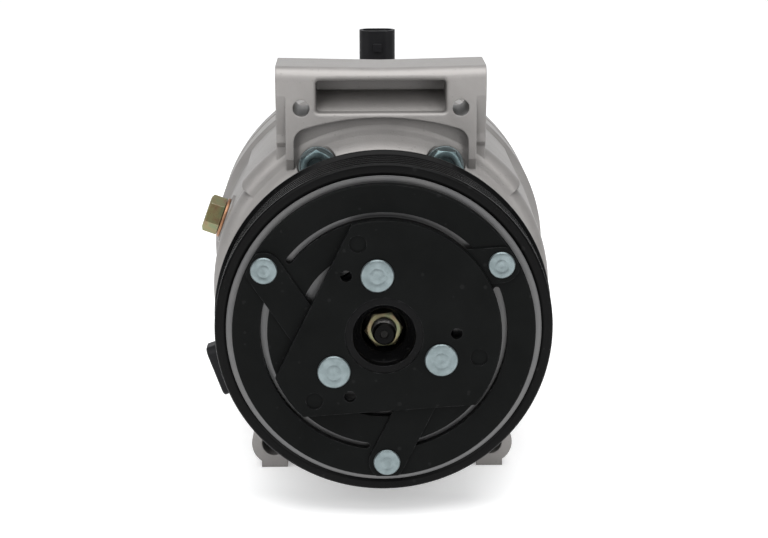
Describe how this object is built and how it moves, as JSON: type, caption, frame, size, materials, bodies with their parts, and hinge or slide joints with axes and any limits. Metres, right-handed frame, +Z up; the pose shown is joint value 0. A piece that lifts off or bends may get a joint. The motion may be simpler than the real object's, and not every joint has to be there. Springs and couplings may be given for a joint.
{
  "type": "air-conditioning compressor with electromagnetic clutch",
  "caption": "Vehicle air-conditioning compressor with wobble-plate pistons, a cast aluminium case and an electromagnetic clutch with a ribbed belt pulley on its front.",
  "frame": {"origin": "on the shaft axis, in the middle plane of the belt track", "axes": "+Y along the shaft towards the rear head, +Z up through the mounting bar, +X to the right seen from the clutch"},
  "size_m": [0.1513, 0.2091, 0.1715],
  "materials": {
    "cast_aluminium": "as cast, fine grain, machined faces",
    "black_paint": "black electrophoretic paint, satin",
    "bare_rotor_steel": "faced friction surface",
    "zinc_rivet": "clear zinc plate",
    "blue_zinc": "clear zinc plate",
    "yellow_zinc": "yellow zinc plate",
    "copper": "annealed copper",
    "black_rubber": "moulded",
    "black_plastic": "moulded, glass-filled",
    "tinned_contact": "tin plate",
    "coil_steel": "black paint",
    "enamelled_copper": "enamel",
    "potting_resin": "cast resin",
    "bearing_steel": "ground",
    "turned_steel": "turned",
    "spring_steel": "hardened",
    "piston_aluminium": "machined"
  },
  "bodies": {
    "housing": {"front_head": "cast_aluminium", "cylinder_block": "cast_aluminium", "rear_head": "cast_aluminium", "valve_plate": "turned_steel", "suction_reeds": "spring_steel", "discharge_reeds": "spring_steel", "case_o_ring": "black_rubber", "through_bolts": "blue_zinc", "bolt_washers": "blue_zinc", "drain_plug": "yellow_zinc", "drain_washer": "copper", "pressure_switch": "yellow_zinc", "switch_connector": "black_plastic", "switch_pins": "tinned_contact", "control_valve": "turned_steel", "relief_valve": "turned_steel", "coil_housing": "coil_steel", "coil_winding": "enamelled_copper", "coil_potting": "potting_resin", "coil_connector": "black_plastic", "coil_terminals": "tinned_contact", "bearing_inner_race": "bearing_steel", "bearing_snap_ring": "spring_steel", "shaft_seal": "black_rubber", "seal_retainer": "spring_steel", "needle_cups": "bearing_steel", "guide_pin": "turned_steel"},
    "pulley": {"pulley_rim": "black_paint", "rotor": "bare_rotor_steel", "rotor_snap_ring": "spring_steel", "bearing_outer_race": "bearing_steel", "bearing_seals": "black_rubber"},
    "ball_set": {"bearing_balls": "bearing_steel"},
    "shaft": {"drive_shaft": "turned_steel", "clutch_hub": "black_paint", "driver_plate": "black_paint", "stop_bumpers": "black_rubber", "inner_rivets": "zinc_rivet", "leaf_springs": "black_paint", "shaft_nut": "yellow_zinc", "drive_key": "turned_steel", "lug_plate": "turned_steel", "hinge_ball": "turned_steel", "destroke_spring": "spring_steel"},
    "armature": {"armature_plate": "black_paint", "outer_rivets": "zinc_rivet"},
    "needle_set": {"needle_rollers": "bearing_steel"},
    "thrust_set": {"thrust_rollers": "bearing_steel"},
    "swash": {"swash_hub": "turned_steel"},
    "wobble": {"wobble_plate": "piston_aluminium"},
    "piston_1": {"piston_1": "piston_aluminium", "piston_rod_1": "turned_steel"},
    "piston_2": {"piston_2": "piston_aluminium", "piston_rod_2": "turned_steel"},
    "piston_3": {"piston_3": "piston_aluminium", "piston_rod_3": "turned_steel"},
    "piston_4": {"piston_4": "piston_aluminium", "piston_rod_4": "turned_steel"},
    "piston_5": {"piston_5": "piston_aluminium", "piston_rod_5": "turned_steel"}
  },
  "joints": [
    {"name": "pulley_spin", "type": "hinge", "parent": "housing", "child": "pulley", "pos_m": [0, 0, 0], "axis": [0, 1, 0], "continuous": true},
    {"name": "ball_orbit", "type": "hinge", "parent": "housing", "child": "ball_set", "pos_m": [0, 0, 0], "axis": [0, 1, 0], "continuous": true},
    {"name": "shaft_spin", "type": "hinge", "parent": "housing", "child": "shaft", "pos_m": [0, 0, 0], "axis": [0, 1, 0], "continuous": true},
    {"name": "needle_orbit", "type": "hinge", "parent": "housing", "child": "needle_set", "pos_m": [0, 0, 0], "axis": [0, 1, 0], "continuous": true},
    {"name": "thrust_orbit", "type": "hinge", "parent": "housing", "child": "thrust_set", "pos_m": [0, 0, 0], "axis": [0, 1, 0], "continuous": true},
    {"name": "armature_pull", "type": "slide", "parent": "shaft", "child": "armature", "axis": [0, 1, 0], "range_m": [0, 0.0005], "stiffness_N_per_m": 20000, "springref_m": -0.001, "deforming": ["leaf_springs"]},
    {"name": "swash_tilt", "type": "hinge", "parent": "shaft", "child": "swash", "pos_m": [0, 0.066, 0], "axis": [-1, 0, 0], "range_deg": [0, 20], "stiffness_Nm_per_rad": 2, "springref_deg": -5.73},
    {"name": "wobble_counter", "type": "hinge", "parent": "swash", "child": "wobble", "pos_m": [0, 0.066, 0], "axis": [0, 1, 0], "continuous": true},
    {"name": "piston_1_slide", "type": "slide", "parent": "housing", "child": "piston_1", "axis": [0, 1, 0], "range_m": [0, 0.01272]},
    {"name": "piston_2_slide", "type": "slide", "parent": "housing", "child": "piston_2", "axis": [0, 1, 0], "range_m": [0, 0.00407]},
    {"name": "piston_3_slide", "type": "slide", "parent": "housing", "child": "piston_3", "axis": [0, 1, 0], "range_m": [-0.01033, 0]},
    {"name": "piston_4_slide", "type": "slide", "parent": "housing", "child": "piston_4", "axis": [0, 1, 0], "range_m": [-0.01033, 0]},
    {"name": "piston_5_slide", "type": "slide", "parent": "housing", "child": "piston_5", "axis": [0, 1, 0], "range_m": [0, 0.00407]}
  ],
  "couplings": [
    {"joint": "ball_orbit", "follows": "pulley_spin", "ratio": 0.5575},
    {"joint": "needle_orbit", "follows": "shaft_spin", "ratio": 0.417},
    {"joint": "thrust_orbit", "follows": "shaft_spin", "ratio": 0.5},
    {"joint": "wobble_counter", "follows": "shaft_spin", "ratio": -1},
    {"joint": "piston_1_slide", "follows": "swash_tilt", "m_per_rad": 0.035861},
    {"joint": "piston_2_slide", "follows": "swash_tilt", "m_per_rad": 0.011082},
    {"joint": "piston_3_slide", "follows": "swash_tilt", "m_per_rad": -0.029012},
    {"joint": "piston_4_slide", "follows": "swash_tilt", "m_per_rad": -0.029012},
    {"joint": "piston_5_slide", "follows": "swash_tilt", "m_per_rad": 0.011082}
  ]
}
